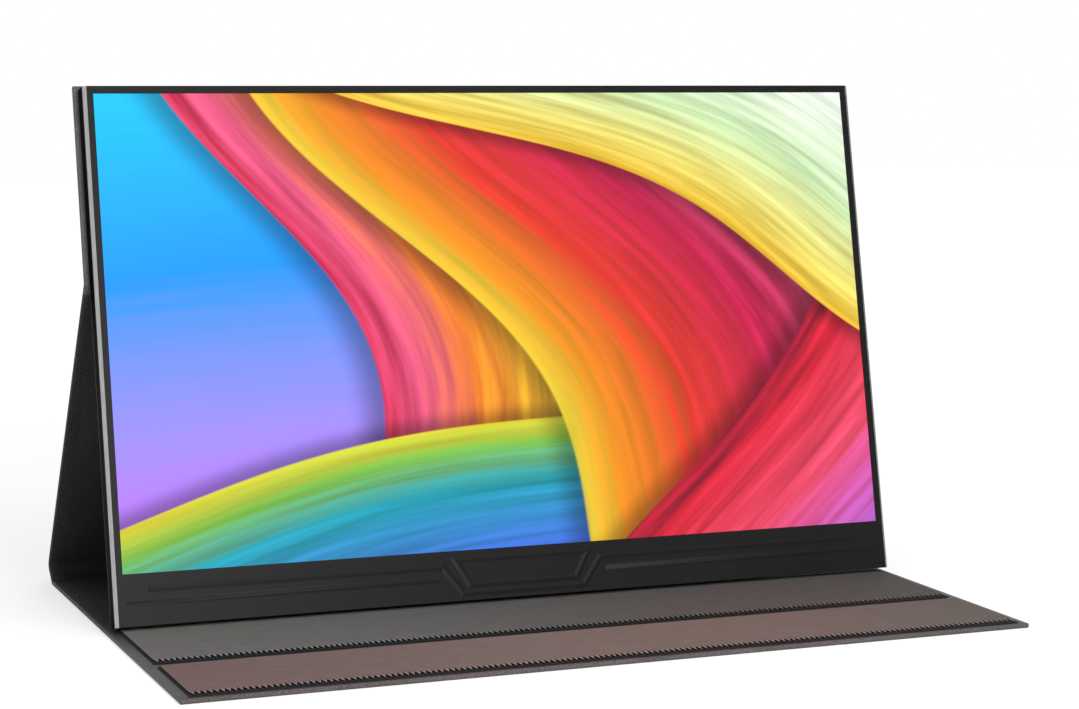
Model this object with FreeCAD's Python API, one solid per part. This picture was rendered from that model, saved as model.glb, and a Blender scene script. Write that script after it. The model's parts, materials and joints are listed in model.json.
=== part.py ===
import FreeCAD, Part
import math
import os

os.makedirs("parts", exist_ok=True)
Vec = FreeCAD.Vector

# Picture and the borders round it
picture_width = 344.16
picture_height = 196.1
side_border = 2.7
top_border = 3.1
chin = 21.2

# Monitor case
case_depth = 10.0
rail_wall = 1.5
end_wall = 1.2
back_wall = 1.2
bezel_depth = 0.8
back_edge_radius = 1.0
fit_gap = 0.3

# Raised lines on the chin: a long one that dips in the middle, a short one under it, a frame over the dip
ridge_width = 3.0
ridge_rise = 0.2
long_line_drop = 6.5
long_line_inset = 12.8
dip_top_half = 36.0
dip_half = 27.6
dip_up = 3.2
short_line_drop = 11.65
short_line_inset = 3.8
short_line_start = 38.0
frame_drop = 3.85
frame_top_half = 30.4
frame_half = 24.2
frame_up = 6.6

# Display module, front to back
polariser_depth = 0.2
cell_depth = 1.0
film_depth = 0.4
guide_depth = 0.8
reflector_depth = 0.15
tray_depth = 0.3
polariser_lap = 1.0
cell_border = 1.6
cell_ledge = 8.0
guide_border = 0.8
sheet_gap = 0.1

# Light bar under the light guide
led_channel = 3.0
led_board = 0.15
led_board_gap = 0.2
led_pitch = 9.0
led_width = 3.0
led_height = 1.1

# Boards behind the display
board_depth = 1.0
board_standoff = 0.4
board_width = 54.5
board_low = 28.0
board_high = 136.0
driver_inset = 22.0
driver_drop = 6.0
driver_height = 8.0
driver_depth = 0.8
insulator_depth = 0.15
insulator_margin = 2.0
insulator_gap = 1.5
ribbon_inset = 10.0
ribbon_width = 20.0
ribbon_depth = 0.2
ribbon_lap = 8.0
ribbon_bend = 1.0

# Sockets on the right-hand edge
socket_height = 3.2
socket_shell = 0.35
socket_floor = 0.6
socket_length = 7.4
socket_recess = 0.4
tongue_depth = 0.7
tongue_setback = 1.0
usb_width = 8.94
usb_tongue = 6.2
usb_up = (69.0, 83.0)
hdmi_width = 10.42
hdmi_tongue = 7.6
hdmi_up = 54.0
jack_bore = 3.6
jack_barrel = 5.0
jack_block = 6.4
jack_length = 11.0
jack_neck = 2.4
jack_floor = 1.0
jack_recess = 0.2
jack_up = 40.0

# Keys above the sockets
key_up = {"minus_button": 104.0, "plus_button": 116.0, "power_button": 128.0}
key_width = 8.0
key_height = 2.2
key_proud = 0.7
key_stem = 4.4
key_edge = 0.4
key_lip = 0.3
key_end_lip = 1.0
key_flange = 1.2
key_travel = 0.5
key_gap = 0.3
switch_depth = 1.8
switch_length = 3.2
switch_width = 3.6

# Speakers and their leads
speaker_inset = 24.8
speaker_length = 42.0
speaker_height = 13.0
speaker_depth = 3.6
speaker_corner = 1.2
speaker_gap = 1.0
cone_radius = 5.4
cone_depth = 0.8
dome_radius = 2.4
lead_radius = 0.5
lead_rise = 6.0
lead_run = 9.0
lead_inset = 6.0
lead_spacing = 18.0

# Cover panels
cover_overhang = 2.02
top_overhang = 2.0
skin = 0.6
board = 1.0
lining = 0.4
edge_wall = 1.0
hem = 6.0
corner_radius = 0.6
board_corner = 0.5
lining_corner = 1.0
fold_setback = 1.3

# Stand, seen from the side
monitor_tilt = 12.0
foot_gap = 0.2
foot_reach = 112.9
toe_reach = 117.9
spine_length = 10.2
spine_lean = 42.0
fold_height = 140.45

# Grip strips on the flap, each a toothed top on a plain base; the foot stands on the rear base
strip_side = 4.8
strip_margin = 2.7
strip_pitch = 54.8
strip_gap = 6.5
strip_under_foot = 3.8
base_under_foot = 13.0
strip_base_depth = 0.5
strip_top_depth = 0.6
strip_base_lip = 0.9
strip_end_lip = 0.8
tooth_pitch = 2.28
tooth_depth = 4.0

# Magnets and screws
magnet_length = 40.0
magnet_width = 10.0
magnet_depth = 1.0
magnet_inset = 54.8
magnet_drop = 38.4
clasp_length = 30.0
clasp_width = 6.0
clasp_inset = 13.0
screw_shank = 1.6
screw_head = 3.2
screw_head_depth = 0.8
screw_sink = 0.1
screw_socket = 0.75
screw_socket_depth = 0.4
screw_reach = 3.0
screw_inset = 6.5
screw_gap = 0.05
boss_wall = 3.2
board_screw_head = 2.8
board_screw_head_depth = 0.7
board_screw_shank = 1.4
board_screw_bite = 0.6
board_screw_inset = 4.0
board_screw_side = 12.0
board_screw_rise = 67.0
board_pad = 4.8
thread_gap = 0.02

# Sizes that follow from those above
panel = skin + board + lining
bezel_width = picture_width + 2 * side_border
rail_inner = bezel_width / 2
half_case = rail_inner + rail_wall
case_height = chin + picture_height + top_border
picture_top = chin + picture_height
back_inner = case_depth - back_wall
cover_width = 2 * (half_case + cover_overhang)
polariser_back = bezel_depth + polariser_depth
cell_back = polariser_back + cell_depth
film_back = cell_back + film_depth
guide_back = film_back + guide_depth
reflector_back = guide_back + reflector_depth
display_back = reflector_back + tray_depth
board_front = back_inner - board_standoff - board_depth
board_right = rail_inner - fit_gap
board_left = board_right - board_width
socket_v = board_front - socket_height / 2
magnet_spread = rail_inner - magnet_inset
magnet_up = case_height - magnet_drop
past = 1.0


def box(x0, x1, y0, y1, z0, z1):
    return Part.makeBox(x1 - x0, y1 - y0, z1 - z0, Vec(x0, y0, z0))


def rod(radius, start, end):
    along = Vec(*end) - Vec(*start)
    return Part.makeCylinder(radius, along.Length, Vec(*start), along)


def prism(corners, along):
    wire = Part.makePolygon(corners + corners[:1])
    return Part.Face(wire).extrude(along)


def fillet_where(shape, radius, test):
    edges = [e for e in shape.Edges if test(e)]
    return shape.makeFillet(radius, edges)


def runs_along(edge, axis):
    points = [v.Point for v in edge.Vertexes]
    if len(points) != 2:
        return False
    step = points[1] - points[0]
    return step.Length > 1e-6 and abs(step.dot(axis)) > 0.999 * step.Length


def save(name, *solids):
    shape = solids[0] if len(solids) == 1 else Part.makeCompound(list(solids))
    shape.exportStep("parts/" + name + ".step")


# The stand's side view, as (y, z) points. The footprint is centred on the origin, and each fold
# axis runs along X through the middle of a panel's thickness.
tilt = math.radians(monitor_tilt)
spine_angle = math.radians(spine_lean)
upper_angle = math.pi / 2 - tilt
toe_to_rear = spine_length * math.cos(spine_angle) + panel / 2
foot_y = (foot_reach - toe_reach - toe_to_rear) / 2
foot_z = panel + strip_base_depth + foot_gap + case_depth * math.sin(tilt)


def monitor_point(v, w):
    return (foot_y + v * math.cos(tilt) + w * math.sin(tilt),
            foot_z - v * math.sin(tilt) + w * math.cos(tilt))


mid = monitor_point(case_depth + panel / 2, fold_height)
toe = (foot_y + toe_reach, panel / 2)
heel = (toe[0] + spine_length * math.cos(spine_angle), toe[1] + spine_length * math.sin(spine_angle))
leg_angle = math.atan2(mid[1] - heel[1], mid[0] - heel[0])
leg_length = math.dist(mid, heel)
flap_length = foot_reach + toe_reach
flap_front = (foot_y - foot_reach, panel / 2)


def on_monitor(shape):
    shape = shape.copy()
    shape.rotate(Vec(0, 0, 0), Vec(1, 0, 0), -monitor_tilt)
    shape.translate(Vec(0, foot_y, foot_z))
    return shape


def on_panel(shape, origin, angle):
    shape = shape.copy()
    shape.rotate(Vec(0, 0, 0), Vec(1, 0, 0), math.degrees(angle))
    shape.translate(Vec(0, *origin))
    return shape


def rounded_sheet(width, start, end, low, high, free_start, free_end, radius):
    sheet = box(-width / 2, width / 2, start, end, low, high)
    rounded = [at for at, free in ((start, free_start), (end, free_end)) if free]

    def at_free_corner(edge):
        middle = edge.CenterOfMass
        return runs_along(edge, Vec(0, 0, 1)) and any(abs(middle.y - at) < 1e-6 for at in rounded)

    return fillet_where(sheet, radius, at_free_corner) if rounded else sheet


# A skin wrapped round a stiff board, with a lining set into the turned hem
board_face = -panel / 2 + skin
lining_face = board_face + board


def laminate(length, free_start=False, free_end=False, pockets=()):
    start = 0.0 if free_start else fold_setback
    end = length - (0.0 if free_end else fold_setback)

    def sheet(inset, low, high, radius):
        return rounded_sheet(cover_width - 2 * inset,
                             start + (inset if free_start else 0),
                             end - (inset if free_end else 0),
                             low, high, free_start, free_end, radius)

    outer = sheet(0, -panel / 2, panel / 2, corner_radius)
    core = sheet(edge_wall, board_face, lining_face, max(corner_radius - edge_wall, board_corner))
    inside = sheet(hem, lining_face, panel / 2, lining_corner)
    wrapped = outer.cut(core).cut(inside)
    for pocket in pockets:
        core = core.cut(pocket)
    return wrapped, core, inside


def magnet_bar(x, y, length, width):
    return box(x - length / 2, x + length / 2, y - width / 2, y + width / 2, board_face, lining_face)


# Cover, from the flap's front edge to the top of the monitor
flap_bars = [magnet_bar(side * magnet_spread, clasp_inset, clasp_length, clasp_width) for side in (-1, 1)]
upper_bars = [magnet_bar(side * magnet_spread, magnet_up - fold_height, magnet_length, magnet_width)
              for side in (-1, 0, 1)]
upper_length = case_height + top_overhang - fold_height
panels = {
    "flap": (flap_front, 0.0, laminate(flap_length, free_start=True, pockets=flap_bars)),
    "spine": (toe, spine_angle, laminate(spine_length)),
    "leg": (heel, leg_angle, laminate(leg_length)),
    "upper": (mid, upper_angle, laminate(upper_length, free_end=True, pockets=upper_bars)),
}
for name, (origin, angle, layers) in panels.items():
    for layer, solid in zip(("skin", "board", "lining"), layers):
        save(name + "_" + layer, on_panel(solid, origin, angle))
save("flap_magnets", *[on_panel(bar, flap_front, 0.0) for bar in flap_bars])
save("upper_magnets", *[on_panel(bar, mid, upper_angle) for bar in upper_bars])

for name, axis in (("toe_fold", toe), ("heel_fold", heel), ("mid_fold", mid)):
    save(name, rod(panel / 2, (-cover_width / 2, *axis), (cover_width / 2, *axis)))

# Grip strips: the top layer's front edge is cut to teeth, and the base shows between them
strip_half = cover_width / 2 - strip_side
tooth_count = round(2 * strip_half / tooth_pitch)
rear_start = strip_margin + strip_pitch
front_end = rear_start - strip_gap
strips = {
    "front": (strip_margin, front_end, front_end),
    "rear": (rear_start, foot_reach + strip_under_foot, foot_reach + base_under_foot),
}
for name, (start, end, base_end) in strips.items():
    base_top = panel / 2 + strip_base_depth
    base = box(-strip_half - strip_end_lip, strip_half + strip_end_lip, start - strip_base_lip, base_end,
               panel / 2, base_top)
    corners = [Vec(strip_half, end, base_top), Vec(-strip_half, end, base_top)]
    for tooth in range(tooth_count):
        valley = strip_half * (2 * tooth / tooth_count - 1)
        corners.append(Vec(valley, start + tooth_depth, base_top))
        corners.append(Vec(valley + strip_half / tooth_count, start, base_top))
    corners.append(Vec(strip_half, start + tooth_depth, base_top))
    save(name + "_strip_base", on_panel(base, flap_front, 0.0))
    save(name + "_grip_strip", on_panel(prism(corners, Vec(0, 0, strip_top_depth)), flap_front, 0.0))


# Case: front plate with the raised lines of the chin, each a low ridge mitred at its corners
def ridge(points, closed=False):
    spots = [Vec(x, 0, w) for x, w in points]
    count = len(spots)
    spans = count if closed else count - 1
    sides = []
    for i in range(spans):
        step = (spots[(i + 1) % count] - spots[i]).normalize()
        sides.append(Vec(step.z, 0, -step.x))
    rows = []
    for i, spot in enumerate(spots):
        before = sides[i - 1] if closed or i > 0 else sides[i]
        after = sides[i] if i < spans else sides[i - 1]
        mitre = (before + after) * (ridge_width / 2 / (1 + before.dot(after)))
        rows.append((spot - mitre, spot - Vec(0, ridge_rise, 0), spot + mitre))
    loops = []
    for i in range(spans):
        near, far = rows[i], rows[(i + 1) % count]
        loops += [[near[j], far[j], far[k], near[k]] for j, k in ((0, 1), (1, 2), (2, 0))]
    if not closed:
        loops += [list(rows[0]), list(rows[-1])]
    faces = [Part.Face(Part.makePolygon(loop + loop[:1])) for loop in loops]
    return Part.makeSolid(Part.Shell(faces))


bezel = box(-rail_inner, rail_inner, 0, bezel_depth, 0, case_height)
bezel = bezel.cut(box(-picture_width / 2, picture_width / 2, -past, bezel_depth + past, chin, picture_top))
long_up = chin - long_line_drop
short_up = chin - short_line_drop
frame_top = chin - frame_drop
long_end = rail_inner - long_line_inset
short_end = rail_inner - short_line_inset
ridges = [ridge([(-long_end, long_up), (-dip_top_half, long_up), (-dip_half, dip_up), (dip_half, dip_up),
                 (dip_top_half, long_up), (long_end, long_up)]),
          ridge([(-short_end, short_up), (-short_line_start, short_up)]),
          ridge([(short_line_start, short_up), (short_end, short_up)]),
          ridge([(-frame_top_half, frame_top), (-frame_half, frame_up), (frame_half, frame_up),
                 (frame_top_half, frame_top)], closed=True)]
bezel = bezel.fuse(ridges).removeSplitter()
save("front_bezel", on_monitor(bezel))

# Side rails with a bevelled front edge and a screw boss at each end, and the walls between them
boss_front = display_back + fit_gap
boss_reach = screw_inset + boss_wall
rails = {}
for side in (-1, 1):
    outline = [(rail_inner, 0), (rail_inner, back_inner), (half_case, back_inner), (half_case, rail_wall)]
    rail = prism([Vec(side * x, v, 0) for x, v in outline], Vec(0, 0, case_height))
    x0, x1 = sorted((side * rail_inner, side * (rail_inner - boss_reach)))
    for low in (end_wall, case_height - end_wall - boss_reach):
        rail = rail.fuse(box(x0, x1, boss_front, back_inner, low, low + boss_reach))
    rails[side] = rail.removeSplitter()
for name, low in (("bottom_wall", 0), ("top_wall", case_height - end_wall)):
    wall = box(-rail_inner, rail_inner, bezel_depth, back_inner, low, low + end_wall)
    save(name, on_monitor(wall))


def slot_shape(width, height, x0, x1, up):
    blank = box(x0, x1, socket_v - height / 2, socket_v + height / 2, up - width / 2, up + width / 2)
    return fillet_where(blank, height * 0.49, lambda e: runs_along(e, Vec(1, 0, 0)))


def hdmi_shape(width, height, x0, x1, up):
    front = socket_v - height / 2
    shoulder = front + height * 0.6
    narrow = width / 2 - height * 0.35
    outline = [(front, -width / 2), (front, width / 2), (shoulder, width / 2),
               (front + height, narrow), (front + height, -narrow), (shoulder, -width / 2)]
    return prism([Vec(x0, v, up + w) for v, w in outline], Vec(x1 - x0, 0, 0))


through = (rail_inner - past, half_case + past)
openings = [slot_shape(usb_width + fit_gap, socket_height + fit_gap, *through, up) for up in usb_up]
openings.append(hdmi_shape(hdmi_width + fit_gap, socket_height + fit_gap, *through, hdmi_up))
openings.append(rod((jack_barrel + fit_gap) / 2, (through[0], socket_v, jack_up),
                    (through[1], socket_v, jack_up)))
for up in key_up.values():
    half_v = key_height / 2 + fit_gap
    half_w = key_width / 2 + fit_gap
    openings.append(box(*through, socket_v - half_v, socket_v + half_v, up - half_w, up + half_w))
for opening in openings:
    rails[1] = rails[1].cut(opening)

# Rear housing, its corner screws, and the pads that carry the main board
housing = box(-half_case, half_case, back_inner, case_depth, 0, case_height)
housing = fillet_where(housing, back_edge_radius, lambda e: abs(e.CenterOfMass.y - case_depth) < 1e-6)
housing_screws = []
head_face = case_depth - screw_sink
seat = head_face - screw_head_depth
tip = seat - screw_reach
for side in (-1, 1):
    x = side * (rail_inner - screw_inset)
    for w in (end_wall + screw_inset, case_height - end_wall - screw_inset):
        hexagon = [math.radians(60 * corner) for corner in range(6)]
        drive = prism([Vec(x + screw_socket * math.cos(a), head_face - screw_socket_depth,
                           w + screw_socket * math.sin(a)) for a in hexagon], Vec(0, past, 0))
        head = rod(screw_head / 2, (x, seat, w), (x, head_face, w)).cut(drive)
        shank = rod(screw_shank / 2, (x, tip, w), (x, seat, w))
        housing_screws.append(on_monitor(head.fuse(shank)))
        bore = rod(screw_shank / 2 + thread_gap, (x, tip - screw_gap, w), (x, case_depth, w))
        rails[side] = rails[side].cut(bore)
        housing = housing.cut(bore)
        housing = housing.cut(rod(screw_head / 2 + screw_gap, (x, seat, w), (x, case_depth + past, w)))

board_screws = []
main_board = box(board_left, board_right, board_front, board_front + board_depth, board_low, board_high)
board_screw_spots = [(board_left + board_screw_inset, board_low + board_screw_inset),
                     (board_left + board_screw_inset, board_high - board_screw_inset),
                     (board_right - board_screw_side, board_low + board_screw_rise)]
for x, w in board_screw_spots:
    pad = rod(board_pad / 2, (x, back_inner - board_standoff, w), (x, back_inner, w))
    head = rod(board_screw_head / 2, (x, board_front - board_screw_head_depth, w), (x, board_front, w))
    shank_end = back_inner + board_screw_bite
    shank = rod(board_screw_shank / 2, (x, board_front, w), (x, shank_end, w))
    bore = rod(board_screw_shank / 2 + thread_gap, (x, board_front, w), (x, shank_end + screw_gap, w))
    main_board = main_board.cut(bore)
    housing = housing.fuse(pad).cut(bore)
    board_screws.append(on_monitor(head.fuse(shank)))
save("housing_screws", *housing_screws)
save("board_screws", *board_screws)
save("left_rail", on_monitor(rails[-1]))
save("right_rail", on_monitor(rails[1]))
save("rear_housing", on_monitor(housing))
save("main_board", on_monitor(main_board))


# Display module: sheets stacked behind the front plate, in a frame on a steel tray
def sheet_behind(border, front, back, low, high):
    half = picture_width / 2 + border
    return box(-half, half, front, back, low, high)


cell_low = chin - cell_ledge
cell_high = picture_top + cell_border
guide_low = chin - guide_border
guide_high = picture_top + guide_border
sheets = {
    "front_polariser": (polariser_lap, bezel_depth, polariser_back, chin - polariser_lap,
                        picture_top + polariser_lap),
    "display_cell": (cell_border, polariser_back, cell_back, cell_low, cell_high),
    "film_stack": (guide_border, cell_back, film_back, guide_low, guide_high),
    "light_guide": (guide_border, film_back, guide_back, guide_low, guide_high),
    "reflector_sheet": (guide_border, guide_back, reflector_back, guide_low, guide_high),
    "panel_tray": (cell_border, reflector_back, display_back, cell_low, cell_high),
}
for name, place in sheets.items():
    save(name, on_monitor(sheet_behind(*place)))

ring = sheet_behind(cell_border, cell_back, reflector_back, cell_low, cell_high)
ring = ring.cut(sheet_behind(guide_border + sheet_gap, cell_back - past, reflector_back + past,
                             guide_low - led_channel, guide_high + sheet_gap))
save("panel_frame", on_monitor(ring))
led_face = guide_back - led_board
led_bar = sheet_behind(guide_border, led_face, guide_back, guide_low - led_channel + led_board_gap, guide_low)
led_top = guide_low - sheet_gap
leds = []
for index in range(int(picture_width / led_pitch)):
    x = -picture_width / 2 + led_pitch * (index + 0.5)
    leds.append(box(x - led_width / 2, x + led_width / 2, film_back, led_face, led_top - led_height, led_top))
save("led_bar", on_monitor(led_bar.fuse(leds)))

# Driver board, insulator and the ribbon to the main board
driver_half = picture_width / 2 - driver_inset
driver_low = chin - driver_drop
driver_high = driver_low + driver_height
driver_back = display_back + driver_depth
save("driver_board", on_monitor(box(-driver_half, driver_half, display_back, driver_back,
                                    driver_low, driver_high)))
save("board_insulator", on_monitor(box(board_left - insulator_margin, picture_width / 2 + cell_border,
                                       display_back, display_back + insulator_depth,
                                       driver_high + insulator_gap, board_high + insulator_margin)))
ribbon_x = (board_left + ribbon_inset, board_left + ribbon_inset + ribbon_width)
bend_up = board_low - ribbon_bend
ribbon = box(*ribbon_x, driver_back, driver_back + ribbon_depth, driver_low + ribbon_bend, bend_up)
ribbon = ribbon.fuse(box(*ribbon_x, driver_back, board_front, bend_up - ribbon_depth, bend_up))
ribbon = ribbon.fuse(box(*ribbon_x, board_front - ribbon_depth, board_front, bend_up - ribbon_depth,
                         board_low + ribbon_lap))
save("display_ribbon", on_monitor(ribbon))

# Sockets: a metal shell open to the right, with a contact tongue
mouth = half_case - socket_recess


def socket(outline, width, up, tongue_width):
    floor = mouth - socket_length + socket_floor
    shell = outline(width, socket_height, mouth - socket_length, mouth, up)
    hollow = outline(width - 2 * socket_shell, socket_height - 2 * socket_shell, floor, mouth + past, up)
    tongue = box(floor, mouth - tongue_setback, socket_v - tongue_depth / 2, socket_v + tongue_depth / 2,
                 up - tongue_width / 2, up + tongue_width / 2)
    return shell.cut(hollow).fuse(tongue)


save("usb_c_lower", on_monitor(socket(slot_shape, usb_width, usb_up[0], usb_tongue)))
save("usb_c_upper", on_monitor(socket(slot_shape, usb_width, usb_up[1], usb_tongue)))
save("mini_hdmi", on_monitor(socket(hdmi_shape, hdmi_width, hdmi_up, hdmi_tongue)))

jack_mouth = half_case - jack_recess
jack_back = half_case - jack_length
jack_front = socket_v - socket_height / 2
neck = rail_inner - jack_neck
in_rail = rail_inner + sheet_gap
barrel = rod(jack_barrel / 2, (neck, socket_v, jack_up), (jack_mouth, socket_v, jack_up))
clear_of_board = box(neck, in_rail, jack_front, board_front, jack_up - jack_block, jack_up + jack_block)
jack = box(jack_back, neck, jack_front, board_front, jack_up - jack_block / 2, jack_up + jack_block / 2)
jack = jack.fuse(barrel.common(clear_of_board))
jack = jack.fuse(rod(jack_barrel / 2, (in_rail, socket_v, jack_up), (jack_mouth, socket_v, jack_up)))
jack = jack.cut(rod(jack_bore / 2, (jack_back + jack_floor, socket_v, jack_up),
                    (half_case + past, socket_v, jack_up)))
save("audio_jack", on_monitor(jack))

# Keys, each with a flange behind the rail, and the switches that they press
key_inner = rail_inner - key_stem
key_face = half_case + key_proud
flange_face = rail_inner - fit_gap
switch_face = key_inner - key_travel - key_gap
switches = []
for name, up in key_up.items():
    stem = box(key_inner, key_face, socket_v - key_height / 2, socket_v + key_height / 2,
               up - key_width / 2, up + key_width / 2)
    stem = fillet_where(stem, key_edge, lambda e: abs(e.CenterOfMass.x - key_face) < 1e-6)
    half_v = key_height / 2 + key_lip
    half_w = key_width / 2 + key_end_lip
    flange = box(flange_face - key_flange, flange_face, socket_v - half_v, socket_v + half_v,
                 up - half_w, up + half_w)
    save(name, on_monitor(stem.fuse(flange)))
    switch = box(switch_face - switch_length, switch_face, board_front - switch_depth, board_front,
                 up - switch_width / 2, up + switch_width / 2)
    switches.append(on_monitor(switch))
save("key_switches", *switches)

# Speakers with their leads, and the magnets that hold the cover's upper panel
speaker_outer = rail_inner - speaker_inset
speaker_inner = speaker_outer - speaker_length
speaker_front = back_inner - speaker_depth
speaker_low = end_wall + speaker_gap
speaker_high = speaker_low + speaker_height
cone_v = speaker_front + cone_depth
cone_up = (speaker_low + speaker_high) / 2
for side, name in ((-1, "left_speaker"), (1, "right_speaker")):
    x0, x1 = sorted((side * speaker_outer, side * speaker_inner))
    x = (x0 + x1) / 2
    chamber = box(x0, x1, speaker_front, back_inner, speaker_low, speaker_high)
    chamber = fillet_where(chamber, speaker_corner, lambda e: runs_along(e, Vec(0, 1, 0)))
    dish = Part.makeCone(cone_radius, cone_radius * 0.78, cone_depth, Vec(x, speaker_front, cone_up),
                         Vec(0, 1, 0))
    ball = Part.makeSphere(dome_radius, Vec(x, speaker_front + dome_radius, cone_up))
    dome = ball.common(box(x0, x1, speaker_front, cone_v, speaker_low, speaker_high))
    save(name, on_monitor(chamber.cut(dish).fuse(dome)))


def lead(points):
    runs = [rod(lead_radius, a, b) for a, b in zip(points, points[1:])]
    bends = [Part.makeSphere(lead_radius, Vec(*at)) for at in points[1:-1]]
    return runs[0].fuse(runs[1:] + bends) if len(runs) > 1 else runs[0]


lead_v = back_inner - lead_radius
lead_up = speaker_high + lead_rise
turn_x = -speaker_inner + lead_run
long_lead_x = board_left + lead_inset
short_lead_x = long_lead_x + lead_spacing
long_lead = lead([(-speaker_inner, lead_v, cone_up), (turn_x, lead_v, cone_up), (turn_x, lead_v, lead_up),
                  (long_lead_x, lead_v, lead_up), (long_lead_x, lead_v, board_low)])
short_lead = lead([(short_lead_x, lead_v, speaker_high), (short_lead_x, lead_v, board_low)])
save("speaker_leads", on_monitor(long_lead), on_monitor(short_lead))
case_magnets = [box(side * magnet_spread - magnet_length / 2, side * magnet_spread + magnet_length / 2,
                    back_inner - magnet_depth, back_inner, magnet_up - magnet_width / 2,
                    magnet_up + magnet_width / 2) for side in (-1, 0, 1)]
save("case_magnets", *[on_monitor(bar) for bar in case_magnets])

print("mid", *mid)
print("heel", *heel)
print("toe", *toe)
print("foot", foot_y, foot_z)
print("angles", spine_lean, math.degrees(leg_angle), math.degrees(upper_angle))
print("lengths", leg_length, flap_length, cover_width)
print("jack", jack_mouth, *monitor_point(socket_v, jack_up))
for name, up in (("usb_lower", usb_up[0]), ("usb_upper", usb_up[1]), ("hdmi", hdmi_up)):
    print(name, mouth, *monitor_point(socket_v, up))
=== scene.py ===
import json
import math

import bmesh
import bpy
from mathutils import Matrix, Vector


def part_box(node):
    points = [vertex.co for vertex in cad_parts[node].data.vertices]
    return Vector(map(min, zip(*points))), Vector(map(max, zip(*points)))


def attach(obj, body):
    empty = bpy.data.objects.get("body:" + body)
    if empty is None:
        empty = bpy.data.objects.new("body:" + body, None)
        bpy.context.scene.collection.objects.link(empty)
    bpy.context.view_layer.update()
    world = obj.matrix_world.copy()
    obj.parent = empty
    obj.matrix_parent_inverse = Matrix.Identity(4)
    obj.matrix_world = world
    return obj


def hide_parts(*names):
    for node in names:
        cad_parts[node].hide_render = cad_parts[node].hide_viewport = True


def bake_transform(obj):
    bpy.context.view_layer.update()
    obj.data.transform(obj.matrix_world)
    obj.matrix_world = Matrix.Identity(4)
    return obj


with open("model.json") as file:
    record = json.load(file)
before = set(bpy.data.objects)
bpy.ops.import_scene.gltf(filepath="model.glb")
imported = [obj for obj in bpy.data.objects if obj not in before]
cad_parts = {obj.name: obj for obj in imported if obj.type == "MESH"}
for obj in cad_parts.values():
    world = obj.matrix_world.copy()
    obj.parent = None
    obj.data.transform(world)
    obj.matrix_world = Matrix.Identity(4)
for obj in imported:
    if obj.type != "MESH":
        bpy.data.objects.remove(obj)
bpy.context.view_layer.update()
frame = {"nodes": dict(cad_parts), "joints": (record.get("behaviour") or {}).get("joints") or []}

scene = bpy.context.scene
scene.view_settings.view_transform = "Standard"
print("frame loaded:", len(frame["nodes"]), "CAD nodes")

# side view of the stand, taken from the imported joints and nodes
stand = {
    "tilt": math.radians(12.0),  # the monitor leans back from upright
    "bezelDepth": 0.0008,
}
tilt = stand["tilt"]
folds = {j["name"]: Vector(j["pos_m"]) for j in frame["joints"] if j["type"] == "hinge"}
bezelLow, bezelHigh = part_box("front_bezel")
flapLow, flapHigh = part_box("flap_skin")
footHeight = bezelLow.z + stand["bezelDepth"] * math.sin(tilt)
foot = Vector((0, bezelLow.y, footHeight))  # the monitor's lower front edge
caseUp = Vector((0, math.sin(tilt), math.cos(tilt)))
caseHeight = (bezelHigh.z - foot.z) / caseUp.z
coverHalf = flapHigh.x
coverThick = flapHigh.z - flapLow.z


# node helpers
def startMaterial(name):
    mat = bpy.data.materials.new(name)
    mat.use_nodes = True
    tree = mat.node_tree
    return mat, tree, tree.nodes["Principled BSDF"]


def addNode(tree, kind, inputs=None, **settings):
    node = tree.nodes.new(kind)
    for key, value in settings.items():
        setattr(node, key, value)
    for key, value in (inputs or {}).items():
        if isinstance(value, bpy.types.NodeSocket):
            tree.links.new(value, node.inputs[key])
        else:
            node.inputs[key].default_value = value
    return node


def mathNode(tree, operation, a, b=0.0, c=0.0):
    return addNode(tree, "ShaderNodeMath", {0: a, 1: b, 2: c}, operation=operation).outputs[0]


def spread(tree, value, fromRange, toRange, smooth=False):
    inputs = {"Value": value, "From Min": fromRange[0], "From Max": fromRange[1],
              "To Min": toRange[0], "To Max": toRange[1]}
    kind = "SMOOTHSTEP" if smooth else "LINEAR"
    return addNode(tree, "ShaderNodeMapRange", inputs, interpolation_type=kind).outputs[0]


def rampNode(tree, fac, stops):
    node = addNode(tree, "ShaderNodeValToRGB", {"Fac": fac})
    ramp = node.color_ramp
    while len(ramp.elements) < len(stops):
        ramp.elements.new(0.5)
    for element, (at, colour) in zip(ramp.elements, stops):
        element.position = at
        element.color = (*colour, 1.0)
    return node.outputs["Color"]


def twoTone(tree, fac, span, tones):
    return rampNode(tree, fac, list(zip(span, tones)))


def mixColour(tree, fac, a, b, blend="MIX"):
    inputs = {0: fac, 6: a, 7: b}  # the colour sockets of the Mix node
    node = addNode(tree, "ShaderNodeMix", inputs, data_type="RGBA", blend_type=blend)
    return node.outputs[2]


def greyOf(tree, level):
    return addNode(tree, "ShaderNodeCombineColor", {0: level, 1: level, 2: level}).outputs[0]


def tinted(tree, colour, tint):
    return mixColour(tree, 1.0, colour, tint, "MULTIPLY")


def dimmed(tree, colour, level):
    return tinted(tree, colour, greyOf(tree, level))


def grey(level, warm=0.0):
    return (level * (1 + warm), level, level * (1 - warm))


def noise(tree, coords, scale, detail=5.0):
    inputs = {"Vector": coords, "Scale": scale, "Detail": detail}
    return addNode(tree, "ShaderNodeTexNoise", inputs).outputs["Fac"]


def cells(tree, coords, scale, feature):
    inputs = {"Vector": coords, "Scale": scale}
    return addNode(tree, "ShaderNodeTexVoronoi", inputs, feature=feature).outputs["Distance"]


def objectCoords(tree, scale=(1, 1, 1)):
    coords = addNode(tree, "ShaderNodeTexCoord").outputs["Object"]
    return addNode(tree, "ShaderNodeMapping", {"Vector": coords, "Scale": scale}).outputs["Vector"]


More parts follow.
